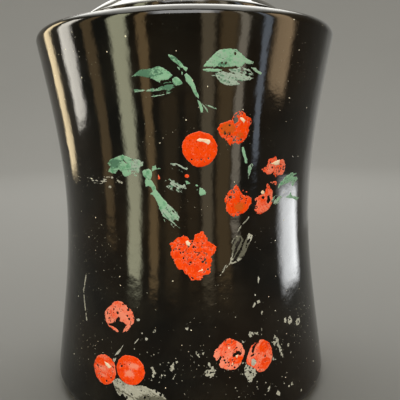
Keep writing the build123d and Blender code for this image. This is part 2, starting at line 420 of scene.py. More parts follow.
under = [(0, DOME_CENTRE + INNER_DOME)] + arc(0, DOME_CENTRE, INNER_DOME, 88, inner_turn, 18)
under += arc(FLANGE_IN - ROOT_ROUND, inner_z, ROOT_ROUND, inner_turn, 0, 6)[1:] + [(FLANGE_IN, 210)]
under += arc(FLANGE_IN + FLANGE_ROUND, FLANGE_BOTTOM + FLANGE_ROUND, FLANGE_ROUND, 180, 270, 5)
under += arc(FLANGE_OUT - FLANGE_ROUND, FLANGE_BOTTOM + FLANGE_ROUND, FLANGE_ROUND, 270, 360, 5)
under += [(FLANGE_OUT, 206), (FLANGE_OUT, BODY_HEIGHT - FLANGE_CORNER)]
under += level(BODY_HEIGHT, FLANGE_OUT + FLANGE_CORNER, 56)
over = arc(LID_RADIUS - BRIM_ROUND, BODY_HEIGHT + BRIM_ROUND, BRIM_ROUND, -90, 0, 8)
over += arc(LID_RADIUS - BRIM_ROUND, brim_z, BRIM_ROUND, 0, brim_turn, 7)
over += arc(0, DOME_CENTRE, DOME_RADIUS, brim_turn + 0.8, root_turn, 34)
over += arc(NECK + NECK_ROOT, root_z, NECK_ROOT, root_turn - 180, -180, 9)[1:]
over += arc(neck_x, neck_z, NECK_TOP, 180, neck_turn, 5)
over += arc(BUTTON_X, BUTTON_Z, BUTTON_ROUND, neck_turn - 180, crown_turn, 22)[1:]
over += arc(0, crown_z, CROWN, crown_turn, 90, 9)[1:]
lid = spin("glazed_lid", under + over, 224, uneven=lambda *place: LID_UNEVEN * unevenness(*place))
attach(lid, "lid")
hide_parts("lid")
glazed.objects.link(lid)
dressed.objects.link(lid)
print("lid faces", len(lid.data.polygons))

# %% [markdown]
# The glaze. A real one is a layer of black glass, so the shader is nearly black with a sharp, slightly
# uneven gloss. What keeps it from looking like plastic is on top of it: a breath of dust that lies
# more thickly where the shell faces up, small flecks of white and tan, and a fine ripple like orange
# peel. Flecks could be modelled, but at a few tenths of a millimetre they are a matter of colour.

# %% Glaze
def srgb(red, green, blue):
    """A colour given from 0 to 255 as a paint chart has it, as the linear values that a shader takes."""
    parts = [value / 255 for value in (red, green, blue)]
    return tuple(p / 12.92 if p <= 0.04045 else ((p + 0.055) / 1.055) ** 2.4 for p in parts) + (1.0,)


BLACK, WARM_BLACK = srgb(4, 4, 3), srgb(13, 8, 3)
DUST, FLECK, BARE_CLAY = srgb(150, 146, 128), srgb(188, 186, 168), srgb(196, 178, 148)


def mix(tree, share, first, second):
    """A colour between two others, by a share from 0 to 1."""
    return add(tree, "Mix", 2, {0: share, 6: first, 7: second}, data_type="RGBA")


def cloud(tree, place, scale, detail, roughness=0.5, output=0):
    """Noise, as a value or, from its second output, as a colour."""
    inputs = {"Vector": place, "Scale": scale, "Detail": detail, "Roughness": roughness}
    return add(tree, "TexNoise", output, inputs)


def shifted(tree, place, detail, reach):
    """The place moved by up to `reach` metres of fine noise, which tears the spots drawn there."""
    bent = cloud(tree, place, 900.0, detail, output=1)
    bend = add(tree, "VectorMath", inputs={0: bent, 1: (reach,) * 3}, operation="MULTIPLY")
    return add(tree, "VectorMath", inputs={0: place, 1: bend}, operation="ADD")


def spots(tree, place, spacing, size, share):
    """Round spots about `spacing` metres apart; only this share of the places has one."""
    cell = add(tree, "TexVoronoi", inputs={"Vector": place, "Scale": 1 / spacing})
    chance = add(tree, "TexVoronoi", 1, {"Vector": place, "Scale": 1 / spacing})
    lucky = calc(tree, "LESS_THAN", add(tree, "SeparateColor", inputs={"Color": chance}), share)
    return calc(tree, "MULTIPLY", ramp(tree, cell, size / spacing, 0.7 * size / spacing), lucky)


def bump(tree, height, strength, distance, over=None, sink=False):
    """Relief on the shading, laid over another relief if one is given."""
    inputs = {"Height": height, "Strength": strength, "Distance": distance}
    if over is not None:
        inputs["Normal"] = over
    return add(tree, "Bump", inputs=inputs, invert=sink)


def glaze(name, dust_amount, fleck_share, dust_from=0.45, foot=0.0):
    """Black glass with dust and flecks on it, wiped off the clay up to `foot` metres."""
    material, tree, face = new_material(name)
    place = add(tree, "TexCoord", 3)
    clouds = cloud(tree, place, 45.0, 6.0, 0.65)
    facing_up = add(tree, "SeparateXYZ", 2, {"Vector": add(tree, "NewGeometry", 1)})
    settled = ramp(tree, facing_up, -0.1, 0.9, 0.25, 1.0)
    film = calc(tree, "MULTIPLY", ramp(tree, clouds, dust_from, dust_from + 0.3), settled)
    film = calc(tree, "MULTIPLY", film, dust_amount)
    tone = cloud(tree, place, 18.0, 2.0)
    colour = mix(tree, ramp(tree, tone, 0.35, 0.7), BLACK, WARM_BLACK)
    colour = mix(tree, film, colour, DUST)
    torn = shifted(tree, place, 2.0, 0.0007)
    crowd = ramp(tree, cloud(tree, place, 28.0, 3.0), 0.5, 0.68, 0.0, 0.7)
    grit = calc(tree, "MULTIPLY", spots(tree, torn, 0.0016, 0.0002, 0.5), crowd)
    large = spots(tree, torn, 0.017, 0.0006, 0.5 * fleck_share)
    specks = calc(tree, "MAXIMUM", spots(tree, torn, 0.0045, 0.0003, fleck_share), large)
    specks = calc(tree, "MAXIMUM", specks, grit)
    colour = mix(tree, specks, colour, FLECK)
    dull = ramp(tree, specks, 0, 1, 0, 0.5)
    sheen = calc(tree, "ADD", ramp(tree, clouds, 0.3, 0.8, 0.035, 0.13), dull)
    if foot:
        height = add(tree, "SeparateXYZ", 2, {"Vector": place})
        edge = ramp(tree, cloud(tree, place, 140.0, 3.0), 0.3, 0.7, -0.0006, 0.0006)
        bare = ramp(tree, calc(tree, "ADD", edge, height), foot, foot * 0.6)
        colour = mix(tree, bare, colour, BARE_CLAY)
        sheen = calc(tree, "MAXIMUM", sheen, bare)
    tree.links.new(colour, face["Base Color"])
    tree.links.new(sheen, face["Roughness"])
    face["Specular IOR Level"].default_value = 0.3
    roll = bump(tree, cloud(tree, place, 75.0, 1.0), 0.12, 0.0012)
    ripple = bump(tree, cloud(tree, place, 260.0, 2.0), 0.07, 0.0006, roll)
    tree.links.new(bump(tree, specks, 0.4, 0.0001, ripple), face["Normal"])
    return material


jar.data.materials.append(glaze("jar_black_glaze", 0.03, 0.4, foot=0.0012))
lid.data.materials.append(glaze("lid_black_glaze", 0.08, 0.8, dust_from=0.3))
print("materials:", [material.name for material in bpy.data.materials])

# %% [markdown]
# The painted fruit. On the real jar it is enamel brushed on over the fired glaze, a tenth of a
# millimetre thick, and years of washing have chipped and thinned it. It could be a pattern in the
# glaze's colour, but then its edges would be as soft as that pattern's pixels in any other program.
# Here each cherry, leaf and stem is a thin skin that lies on the wall, cut to shape on a fine grid.
#
# A brush mark is described by its depth: how many millimetres a place lies inside the paint's edge.
# Depths are easy to work with. The larger of two depths joins two marks, the smaller one cuts one
# with the other, and a little noise added to a depth tears its edge.

# %% Noise that tears edges
POSTS = 97


def noise(x, y, size, seed):
    """Soft bumps between -1 and 1, about `size` mm apart, always the same for one seed."""
    posts = np.random.default_rng(seed).uniform(-1, 1, (POSTS, POSTS))
    left, low = np.floor(x / size).astype(int), np.floor(y / size).astype(int)
    across, up = x / size - left, y / size - low
    across, up = across**2 * (3 - 2 * across), up**2 * (3 - 2 * up)

    def post(right, above):
        return posts[(left + right) % POSTS, (low + above) % POSTS]

    lower = post(0, 0) * (1 - across) + post(1, 0) * across
    return lower * (1 - up) + (post(0, 1) * (1 - across) + post(1, 1) * across) * up


def rough(x, y, size, seed):
    """Bumps of three sizes together, as along a torn edge."""
    return noise(x, y, size, seed) + noise(x, y, size / 2, seed + 1) / 2 + noise(x, y, size / 4, seed + 2) / 4


def streaks(x, y, lean, long, fine, seed):
    """Bumps drawn out along a brush's pull, which leans this many degrees from level."""
    turn = radians(lean)
    along, aside = (x * cos(turn) + y * sin(turn)) * fine / long, y * cos(turn) - x * sin(turn)
    return noise(along, aside, fine, seed) + 0.5 * noise(along, aside, fine / 2, seed + 1)


print("noise at a place:", noise(np.array([1.0]), np.array([2.0]), 0.8, 1).round(3))

# %% [markdown]
# Three kinds of shape are enough for everything on the wall: a daub, which is a disc or an oval, a
# patch inside a closed outline, and a line of a certain width. An outline's corners don't have to be
# many, because the noise that tears its edge also hides its straight sides.

# %% Shapes of marks
FAR = 99.0                # mm, further than anything on a mark
EDGE_FADE, EDGE_WIDTH = 0.6, 0.3   # how much a mark's edge has faded, and over how many mm


def daub(x, y, across, up, wide, high):
    """Depth of a round daub with half axes wide and high."""
    return (1 - np.hypot((x - across) / wide, (y - up) / high)) * min(wide, high)


def distance(x, y, start, end):
    """Distance from a straight side between two points."""
    side = np.subtract(end, start)
    share = np.clip(((x - start[0]) * side[0] + (y - start[1]) * side[1]) / (side @ side), 0, 1)
    return np.hypot(x - start[0] - share * side[0], y - start[1] - share * side[1])


def patch(x, y, outline):
    """Depth inside a closed outline, below 0 outside it."""
    inside = np.zeros(x.shape, bool)
    nearest = np.full(x.shape, FAR)
    for start, end in zip(outline, outline[1:] + outline[:1]):
        nearest = np.minimum(nearest, distance(x, y, start, end))
        between = (start[1] > y) != (end[1] > y)
        inside ^= between & (x < start[0] + (y - start[1]) * (end[0] - start[0]) / (end[1] - start[1] or 1.0))
    return np.where(inside, nearest, -nearest)


def line(x, y, half_width, path):
    """Depth of a line drawn through some points."""
    return half_width - np.min([distance(x, y, *ends) for ends in zip(path, path[1:])], 0)


def mark_depth(x, y, seed, whole=(), daubs=(), lines=(), thin=(), cuts=(), chips=(), ragged=0.25, keep=1.2,
               lean=0, grip=0.2, cracks=0.0):
    """Depth of a mark: its whole shapes and what its thin ones left in streaks, less all that broke away.

    Each noise is given the size of its bumps in mm: small ones tear edges, large ones thin out areas."""
    tear = ragged * (0.8 * rough(x, y, 2.1, seed) + 0.6 * noise(x, y, 0.55, seed + 5))
    shapes = [patch(x, y, outline) for outline in whole] + [daub(x, y, *spot) for spot in daubs]
    shapes += [line(x, y, *drawn) for drawn in lines] + [np.full(x.shape, -9.0)]
    depth = np.minimum(np.max(shapes, 0) + tear, 0.5 * (keep - rough(x, y, 0.9, seed + 20)))
    kept = 0.4 * streaks(x, y, lean, 9, 0.6, seed + 50) + 0.25 * rough(x, y, 1.4, seed + 60) + grip
    for outline in thin:
        depth = np.maximum(depth, np.minimum(patch(x, y, outline) + tear, kept))
    if cracks:
        hair = np.abs(rough(x, y, 2.4, seed + 80)) + 1.2 * np.maximum(noise(x, y, 4.0, seed + 90), 0)
        depth = np.minimum(depth, hair - cracks)
    for outline in cuts:
        depth = np.minimum(depth, 0.3 * rough(x, y, 1.2, seed + 40) - patch(x, y, outline))
    for across, up, size in chips:
        depth = np.minimum(depth, np.hypot(x - across, y - up) - size + 0.3 * rough(x, y, 0.8, seed + 60))
    return depth


def mark_wear(x, y, seed, depth, sparse, fade=0.0, faded=(), fresh=(), rubbed=(), combed=0.0, lean=0):
    """Two shares from 0 to 1: how far the colour has faded, and how far the paint is rubbed through."""
    haze = rough(x, y, 3.2, seed + 110)
    pale = fade + 0.4 * haze * (0.15 + fade) + sparse * (0.55 + 0.3 * noise(x, y, 1.1, seed + 120))
    for spot in faded:
        pale = np.maximum(pale, 0.45 + 0.5 * daub(x, y, *spot) + 0.35 * haze)
    for spot in fresh:
        pale = pale - np.clip(0.4 + daub(x, y, *spot), 0, 1)
    pale = np.maximum(pale, EDGE_FADE * np.exp(-np.maximum(depth, 0) / EDGE_WIDTH))
    bare = np.max([0.3 + 0.35 * daub(x, y, *spot) for spot in rubbed] + [0.3 * sparse], 0)
    if combed:
        bare = bare + combed * np.maximum(streaks(x, y, lean, 9, 0.7, seed + 130), 0)
    return np.clip(pale, 0, 1), np.clip(bare, 0, 1)


print("depth in the middle of a daub 6 mm wide and 4 mm high:", daub(0.0, 0.0, 0, 0, 3, 2), "mm")

# %% [markdown]
# To turn a depth into a skin, a grid of small squares is laid over the mark and the squares with paint
# in a corner are kept. Their dry corners then step back along the depth's slope to the paint's edge,
# so that the outline runs smoothly and not in stairs. Last, the sheet is wrapped onto the uneven wall,
# lifted by the paint's thickness, with its edge dipped just under the glaze, and given a back.

# %% Laying paint on the wall
GRID = 0.26               # mm between the grid's lines
REACH = (24, 22)          # mm to each side of a mark's spot, and above and below it
EDGE_DIP, SKIN = 0.04, 0.12   # mm that the edge dips into the glaze, and from the skin's face to its back
EDGE_ROUND = 0.35         # mm of depth over which the paint swells to its thickness
WEAR_NAMES = {"fade", "faded", "fresh", "rubbed", "combed"}


def on_wall(at, x, y, lift):
    """Places in metres, `lift` mm off the glaze, for mm aside and above a spot given by angle and height."""
    height = at[1] + y
    turn = radians(at[0]) + x / wall_radius(at[1])
    radius = wall_radius(height) + unevenness(turn, height) + lift
    return np.stack([radius * np.sin(turn), -radius * np.cos(turn), height], -1) * MM


def lay_paint(name, seed, material, slot, thick, at, **look):
    """A closed skin of paint round a spot, wherever the mark's depth is above 0."""
    wear_look = {key: look.pop(key) for key in WEAR_NAMES & set(look)}
    x, y = np.meshgrid(*(np.arange(-half, half + GRID, GRID) for half in REACH), indexing="ij")
    depth = mark_depth(x, y, seed, **look)
    wet = depth > 0
    # sparse is 1 where only thin streaks of paint lie
    sparse = np.zeros(x.shape)
    if "thin" in look:
        sparse = (mark_depth(x, y, seed, **{**look, "thin": ()}) <= 0).astype(float)
    squares = wet[:-1, :-1] | wet[1:, :-1] | wet[1:, 1:] | wet[:-1, 1:]
    # dry corners step back to the paint's edge, but never by a whole square
    tilt = np.array(np.gradient(depth, GRID))
    steep = np.maximum((tilt**2).sum(0), 0.3)
    step = np.where(wet, 0, -depth / steep) * tilt
    step *= np.minimum(1, 0.8 * GRID / np.maximum(np.hypot(*step), 1e-9))
    x, y = x + step[0], y + step[1]
    body = 1 - np.exp(-np.maximum(depth, 0) / EDGE_ROUND)
    lift = np.where(wet, thick * body * (1 + 0.25 * noise(x, y, 1.3, 5)), -EDGE_DIP)
    places = on_wall(at, x, y, lift).reshape(-1, 3)
    number = np.arange(x.size).reshape(x.shape)
    corners = np.stack([number[:-1, :-1], number[1:, :-1], number[1:, 1:], number[:-1, 1:]], -1)[squares]
    used, faces = np.unique(corners, return_inverse=True)
    mesh = bpy.data.meshes.new(name)
    mesh.from_pydata(places[used].tolist(), [], faces.reshape(-1, 4).tolist())
    mesh.shade_smooth()
    shares = mark_wear(x, y, seed, depth, sparse, lean=look.get("lean", 0), **wear_look)
    for label, share in zip(("wear", "rubbed"), shares):
        layer = mesh.attributes.new(label, "FLOAT", "POINT")
        layer.data.foreach_set("value", share.ravel()[used].astype(np.float32))
    mesh.materials.append(material)
    skin = bpy.data.objects.new(name, mesh)
    dressed.objects.link(skin)
    back = skin.modifiers.new("back", "SOLIDIFY")
    back.thickness, back.offset = SKIN * MM, -1
    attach(skin, "jar")
    return skin


print("a mark's spot on the wall, in metres:", on_wall((0.0, 119.0), 0.0, 0.0, 0.0).round(4))

# %% [markdown]
# Old enamel isn't one colour. The cherries' orange red turns coral where it has faded, and the black
# shows through where it is rubbed thin. Two flat tones would look printed, so each paint mixes four
# colours: two where it is whole, one where it has faded and one where it is thin. The skins say how
# faded and how rubbed each place is, and noise breaks the borders up into cracks and flecks.

# %% Paints
CHERRY, DEEP_CHERRY = srgb(255, 74, 2), srgb(242, 60, 8)
CORAL, THIN_CHERRY = srgb(254, 144, 110), srgb(214, 92, 26)
CREAM, DEEP_CREAM = srgb(254, 228, 188), srgb(252, 206, 150)
MINT, DEEP_MINT = srgb(146, 192, 150), srgb(98, 156, 112)
CHALK, THIN_LEAF = srgb(172, 186, 164), srgb(88, 128, 98)
SCUFF, DARK_SCUFF = srgb(178, 174, 152), srgb(132, 129, 110)
PALE_SCUFF, THIN_SCUFF = srgb(204, 201, 182), srgb(104, 101, 84)


def paint(name, fresh, deep, faded, thin, flecks=0.3):
    """Old enamel: two tones where it is whole, others where it has faded or is rubbed thin, and flecks."""
    material, tree, face = new_material(name)
    place = add(tree, "TexCoord", 3)
    wear = add(tree, "Attribute", 2, attribute_name="wear")
    rubbed = add(tree, "Attribute", 2, attribute_name="rubbed")
    patches = cloud(tree, place, 330.0, 5.0, 0.6)
    fine = cloud(tree, place, 1200.0, 4.0, 0.65)
    blotch = ramp(tree, fine, 0.35, 0.65, -0.25, 0.25)
    colour = mix(tree, ramp(tree, patches, 0.52, 0.66), fresh, deep)
    colour = mix(tree, ramp(tree, calc(tree, "ADD", wear, blotch), 0.28, 0.85), colour, faded)
    # hair cracks follow one level of the noise, and only in some places
    off_level = calc(tree, "ABSOLUTE", calc(tree, "SUBTRACT", patches, 0.5))
    crack = calc(tree, "MULTIPLY", ramp(tree, off_level, 0.008, 0.003), ramp(tree, fine, 0.45, 0.6))
    colour = mix(tree, crack, colour, faded)
    patchy = calc(tree, "ADD", rubbed, calc(tree, "MULTIPLY", blotch, 1.3))
    gone = calc(tree, "MULTIPLY", ramp(tree, patchy, 0.45, 0.75), ramp(tree, rubbed, 0.0, 0.2))
    colour = mix(tree, gone, colour, thin)
    holes = spots(tree, shifted(tree, place, 3.0, 0.0012), 0.0017, 0.00026, flecks)
    colour = mix(tree, holes, colour, BLACK)
    tree.links.new(colour, face["Base Color"])
    tree.links.new(ramp(tree, holes, 0, 1, 0.42, 0.08), face["Roughness"])
    face["Specular IOR Level"].default_value = 0.1
    relief = bump(tree, fine, 0.25, 0.0002)
    tree.links.new(bump(tree, holes, 0.8, 0.0001, relief, sink=True), face["Normal"])
    return material


cherry_paint = paint("cherry_enamel", CHERRY, DEEP_CHERRY, CORAL, THIN_CHERRY)
cream_paint = paint("cream_enamel", CREAM, DEEP_CREAM, CREAM, CORAL, flecks=0.05)
leaf_paint = paint("leaf_enamel", MINT, DEEP_MINT, CHALK, THIN_LEAF)
residue = paint("chalky_residue", SCUFF, DARK_SCUFF, PALE_SCUFF, THIN_SCUFF, flecks=0.5)
print("paints:", [material.name for material in (cherry_paint, cream_paint, leaf_paint, residue)])

# %% [markdown]
# The cherries. Each has its place, as an angle from the front and a height, and its shape in
# millimetres from its own middle: a daub, or a closed outline where wear has changed it. Cuts and
# chips are where the paint has come away whole, and rubbed, faded and fresh daubs say where it is
# thin, pale or bright. Each dab of cream enamel on top is a shine.

# %% Cherries
CHERRY_THICK, SHINE_THICK = 0.14, 0.26   # mm of paint
cherries = []


def cherry(name, at, shine=(), **look):
    """One cherry and the cream dabs of its shine."""
    seed = 100 + len(cherries)
    cherries.append(lay_paint("cherry_" + name, seed, cherry_paint, "cherry_paint", CHERRY_THICK, at, **look))
    for count, outline in enumerate(shine, start=1):
        lay_paint(f"cherry_{name}_shine_{count}", seed + 200, cream_paint, "cherry_paint", SHINE_THICK, at,
                  whole=[outline], ragged=0.2, keep=2.0)


cherry("crisp", (4.6, 147.4), ragged=0.2, keep=1.5,
    daubs=[(0.2, -0.2, 8.0, 8.1), (-0.5, 0.5, 8.1, 7.5), (0.2, -1.2, 7.2, 7.4)],
    chips=[(-4, -5, 0.35), (-1.5, -5.4, 0.3), (0.5, -5, 0.25), (-7, -0.5, 0.2), (4, -4.5, 0.25)],
    shine=[[(-2.2, 4.3), (-0.4, 5.2), (2.4, 4.8), (4.6, 4.2), (5.1, 2.8), (3.9, 1.5), (2.6, 2.4),
        (1.4, 3.1), (-1.4, 3.3)]])
cherry("upper", (16.6, 156.2), ragged=0.4, keep=1.1, cracks=0.1,
    rubbed=[(-3.4, 0, 4.6, 3.6), (3, -3, 2.4, 2)],
    whole=[[(-8.5, 0.5), (-7.5, 2.5), (-5, 3.5), (-2, 4.5), (0, 7.5), (2, 8.2), (4, 7.5), (6.5, 5.5),
        (8, 5), (8.5, 3), (7.5, 1), (8, -1), (6.5, -4.5), (2.5, -7.5), (1, -6.5), (-1.5, -7.5), (-4, -5.5),
        (-7, -3)]], cuts=[[(-1.5, 5), (0.5, 5.6), (1.5, 5), (1.8, 3.5), (0, 2.6), (-0.6, 3.6)]],
    chips=[(-4.5, -2, 0.5), (-3.4, -2.6, 0.5), (-2.4, -2.4, 0.35), (2, -5.4, 0.4), (3.4, -5, 0.45),
        (-3.5, 4, 0.4)], shine=[[(1.6, 5.5), (4, 5.5), (5.6, 4), (4.6, 2), (3.4, 3.4)]])
cherry("flat", (34.8, 136.7), ragged=0.45, keep=1.0, fade=0.55, cracks=0.08,
    whole=[[(-8, -0.5), (-5.5, 0.5), (-4.5, 4), (-1, 4.5), (0, 6.2), (1.5, 3.7), (6.5, 3.4), (8.5, 0.5),
        (8, -3), (6, -4.5), (3.5, -4), (1.5, -5.2), (-0.5, -3.2), (-4.5, -3.2), (-7, -2)],
        [(-2, -7.6), (0, -7), (2.5, -7.8), (2, -9.2), (-0.5, -9.2)]],
    chips=[(-1.5, 0, 0.5), (1, -0.5, 0.35), (7, -0.6, 0.5), (6.9, -1.8, 0.45)],
    shine=[[(-3, 2), (-0.5, 3), (3.5, 3.5), (3.5, 1), (1.5, 0.5)]])
cherry("bitten", (18.9, 121.0), ragged=0.35, keep=1.15, cracks=0.1, rubbed=[(0.8, -2.6, 3.8, 3)],
    whole=[[(-7, 0.5), (-6.5, 3), (-4.5, 6), (-2.5, 7), (-1, 8.3), (0.5, 6.5), (1.5, 4.5), (3, 3), (6, 2.5),
        (7.5, 1), (8, -1.5), (6, -3.5), (5, -5), (3, -6.5), (-2.5, -7.5), (-5, -5.5), (-6.5, -3)]],
    daubs=[(2.6, 5.4, 0.4, 0.4), (4.5, 4.5, 0.5, 0.4)],
    chips=[(-4, 2.5, 0.75), (-4.5, 1, 0.4), (4.5, 0, 0.35), (4.2, -1.2, 0.3)])
cherry("spiked", (30.3, 119.6), ragged=0.4, keep=1.05, fade=0.5, cracks=0.08, chips=[(-0.5, 2, 0.75)],
    whole=[[(-5.5, 2), (-2, 3.5), (0.5, 4.5), (1, 7), (2, 9), (3.5, 8), (4, 6), (6, 5), (6, 1.5),
        (5.5, -1.5), (4, -4), (2, -5.5), (-1, -6), (-5.5, -5.5), (-6, -3), (-5, -0.5)]],
    cuts=[[(2, 2.5), (3.6, 3), (4.2, 0.5), (3.6, -1.6), (2, -1)]],
    shine=[[(-2, 5), (-1, 6), (0.5, 5), (0, 3.6), (-1.5, 4)]])
cherry("cluster", (2.2, 95.6), ragged=0.5, keep=1.3, fade=0.1, cracks=0.06,
    whole=[[(-12, 6), (-10.5, 6.5), (-9, 8), (-5.5, 9.5), (-3.5, 9.5), (-2.5, 8), (-0.5, 7.5), (0, 10),
        (3.5, 11.5), (5.5, 10), (7, 8.5), (7, 6.5), (10.5, 4.5), (11, 3.5), (10, 1), (8, -1.5), (9, -3.5),
        (7.5, -6.5), (8, -8.5), (7, -10), (4, -11), (3, -12.5), (-1.5, -12.5), (-3.5, -9.5), (-5, -9),
        (-6, -7.5), (-8, -7), (-10, -3.5), (-12, 0.5), (-11, 2.5)]],
    chips=[(-1, 7, 0.5), (1.5, 6, 0.4), (-0.5, 4, 0.45), (-7.5, 3, 0.3), (-7, 1, 0.4), (-5.5, -1.5, 0.3),
        (-2, -3.5, 0.5), (3, -2, 0.3), (5, -2.5, 0.55), (4, -3.5, 0.45), (5.5, -4.3, 0.4), (6.5, -7.5, 0.5),
        (-1.5, -11.5, 0.5)],
    shine=[[(-4.5, 7), (-3, 7.5), (-2, 6), (-2.5, 4.5), (-4, 5)],
        [(0.5, -9.5), (1.5, -8), (4, -7), (4, -7.8), (2, -8.5)]])
cherry("hollow", (-26.6, 61.9), ragged=0.4, keep=1.15, fade=0.75, cracks=0.08,
    whole=[[(-6, 5), (-4.5, 7), (-2, 8), (0.5, 7.5), (3.5, 6.5), (4.5, 4.5), (5.5, 4.5), (7, 3), (8.5, 0.5),
        (8, -2), (6, -4.5), (4, -7), (1.5, -8), (-1.5, -8.5), (-4.5, -8), (-8, -6), (-10, -4.5),
        (-10.5, -2), (-10, 1), (-8.5, 3)]],
    cuts=[[(-7.5, -5.5), (-3.5, -3.5), (-1.5, -0.5), (0, -0.5), (-0.5, -2.5), (2, -3), (4, -4), (2, -6),
        (1.5, -9), (-1.5, -9.5), (-1.2, -8), (-3, -6.5), (-5.5, -6)]],
    chips=[(-4.5, 3, 0.5), (-2, 1.5, 0.6), (4, 1, 0.5), (5, -0.5, 0.6), (1, 6.5, 0.4), (4.5, 4, 0.5)])
cherry("low_left", (-32.9, 31.6), daubs=[(-0.3, 0.2, 7.8, 7.8)], ragged=0.3, keep=1.25, fade=0.45,
    cracks=0.04, faded=[(-3, 0.5, 5, 0.8), (-2, -3, 4, 0.9)], fresh=[(-2, 4, 4, 1.6), (0.5, -5.5, 3, 1.4)],
    chips=[(-5.5, 1, 0.35), (-3, 1, 0.35), (5.5, 3, 0.45), (-2, -4.5, 0.35), (1.5, -5.5, 0.4),
        (4.5, -3, 0.35)], shine=[[(-1, 4.5), (2, 4.5), (4.5, 3), (3, 1.5), (0.5, 2.5)]])
cherry("low_second", (-21.7, 35.2), daubs=[(-0.4, 0, 8.2, 7.6)], ragged=0.2, keep=1.4, fade=0.15,
    chips=[(-6.5, 2, 0.45), (-5.5, 1.2, 0.5)], faded=[(1.4, 2.4, 3.6, 1.4), (-0.6, -2.2, 3, 2.2)])
cherry("low_third", (14.1, 44.3), ragged=0.35, keep=1.15, fade=0.75, cracks=0.08,
    fresh=[(0.5, 6, 3.4, 1.8), (3.5, -3.5, 3.2, 2)],
    whole=[[(-8.5, 0), (-7.5, 3), (-4, 6.5), (-1.5, 8), (0.5, 8), (4.5, 6), (7, 3.5), (8, 0), (6.5, -4.5),
        (4.5, -7), (2.5, -8), (0, -8), (-2.5, -7.5), (-5, -6), (-6, -4.5), (-5, -2), (-7, -2.5)]],
    cuts=[[(1, -1), (3.5, 0.6), (5, 1.1), (6.4, -0.8), (5.4, -1.6), (4, -0.6), (2, -1.7)],
        [(-7, -2.5), (-5, -0.5), (-4.4, 0.6), (-5, -2.2)]],
    chips=[(-3, -3, 0.5), (-2.6, -4, 0.4), (2, -7, 0.35)],
    shine=[[(-1, 3.6), (0, 3.8), (0.2, 2.6), (-0.9, 2.4)],
        [(3, -1.2), (4.2, -1.2), (3.8, -2.6), (3.2, -2.4)], [(0.5, -4), (1.4, -4.2), (1.6, -5.8),
        (0.8, -5.8)]])
cherry("low_right", (25.9, 39.8), ragged=0.32, fade=0.5, cracks=0.06,
    fresh=[(3, 4.5, 3, 2.6), (3.5, -3.6, 2.6, 2)],
    faded=[(-2.5, 1.8, 2.4, 0.5), (1, -0.6, 2.4, 0.5), (5, -1.7, 2.6, 0.5), (0, -7, 3.4, 1.2)],
    whole=[[(-8, -0.5), (-6.5, 4.5), (-4.5, 7), (-2.5, 7.5), (-1.5, 7), (0.5, 8.5), (3.5, 8), (6, 6),
        (7.5, 3.5), (8, 0), (7.5, -3), (6, -5.5), (3, -7.5), (0, -8.5), (-2.5, -7), (-4, -5), (-6.5, -3.5),
        (-8, -2)]],
    cuts=[[(-5, 3.5), (-4, 6), (-2, 7.5), (-1.5, 7), (-3, 5), (-4, 3)],
        [(-6, 1.6), (-3.5, 2.2), (-3.5, 1.2), (-5.5, 0.8)], [(-5.5, 0), (-3.5, 0), (-2.5, -2.5), (-4, -4),
        (-5.5, -3)]], chips=[(-0.5, 1.5, 0.45), (3, -0.5, 0.3), (-1.5, -5.5, 0.4), (7, -1, 0.35)])
cherry("dabs", (-7.0, 130.0), ragged=0.15, fade=0.3, daubs=[(9.2, 4.6, 1.0, 0.9)],
    whole=[[(-4.5, 6), (-3.4, 4), (-3.4, 3), (-4.9, 3)]])
print("cherries:", len(cherries))

# %% [markdown]
# The leaves and stems were pulled with a flat brush. Where the paint was thick it has stayed whole;
# where it was thin, only the rows of fine streaks that the bristles left are still there. Each leaf
# says which of its areas are whole and which are thin, and how far the brush's pull leans from level.

# %% Leaves and stems
LEAF_THICK = 0.11         # mm of paint
leaves = []


def leaf(name, at, **look):
    """One leaf or stem."""
    seed = 300 + len(leaves)
    leaves.append(lay_paint(name, seed, leaf_paint, "leaf_paint", LEAF_THICK, at, combed=0.6, **look))


leaf("leaf_left_top", (-9.2, 179.0), lean=8, keep=1.1,
    rubbed=[(-6, 3, 6, 3), (0.5, 3.4, 3, 1.6), (5, -3, 5, 3)],
    whole=[[(-11.5, 1.5), (-8.5, 3.5), (-6, 4.5), (-0.5, 5), (1, 5.6), (3.5, 4.6), (6, 3), (7.5, 1.5),
        (5.5, -0.5), (0.5, -1), (-1.5, 0), (-4, 1), (-8, 1.5)],
        [(7.5, 0), (9.5, 0.6), (11, -0.4), (12, -2), (10.5, -3), (8.5, -3), (7.4, -1.5)]],
    thin=[[(-12, -3.5), (-5, -4.5), (4, -2.5), (7.5, -2), (10.5, -2.5), (8, -4), (5.5, -5.5), (2, -5),
        (-10.5, -5.5)], [(-4, -7), (1, -6.5), (4.5, -5.5), (7.5, -5.5), (6, -6.5), (-2, -7.7)],
        [(1, -1), (6, -0.5), (7.5, -2), (5, -4.5), (2, -4), (2, -2)]])
leaf("stem_top", (0.4, 176.0), lean=-62, ragged=0.18, keep=1.3, rubbed=[(-6, 11.6, 2.6, 1.6)],
    whole=[[(-8, 13.5), (-6, 13), (-4, 11.5), (-2, 9.5), (-1, 7.5), (-2.5, 7.4), (-4, 9), (-6.5, 11),
        (-8, 12.5)], [(-4.6, 8.6), (-3, 7.6), (-2.8, 6.4), (-3.6, 7)],
        [(-1, 8), (0.6, 7.4), (-0.4, 6), (-1.5, 7.3)], [(-2.6, 6.5), (-1.4, 5.6), (-2, 4.4)],
        [(-1, 4.5), (0, 5.5), (2, 3.5), (3.5, 0.5), (4.5, -2), (5.5, -4.5), (5.5, -6), (3.5, -4.5), (2, -1),
        (-0.5, 2)], [(4.5, -6), (6, -7), (7.5, -10), (7.6, -12), (6.4, -12), (5.5, -8.5)]],
    thin=[[(6.5, -7.5), (9.5, -10.5), (10, -12.5), (9, -11.5)],
        [(7.5, -8), (11, -9), (14, -10.5), (10.5, -9.8)]])
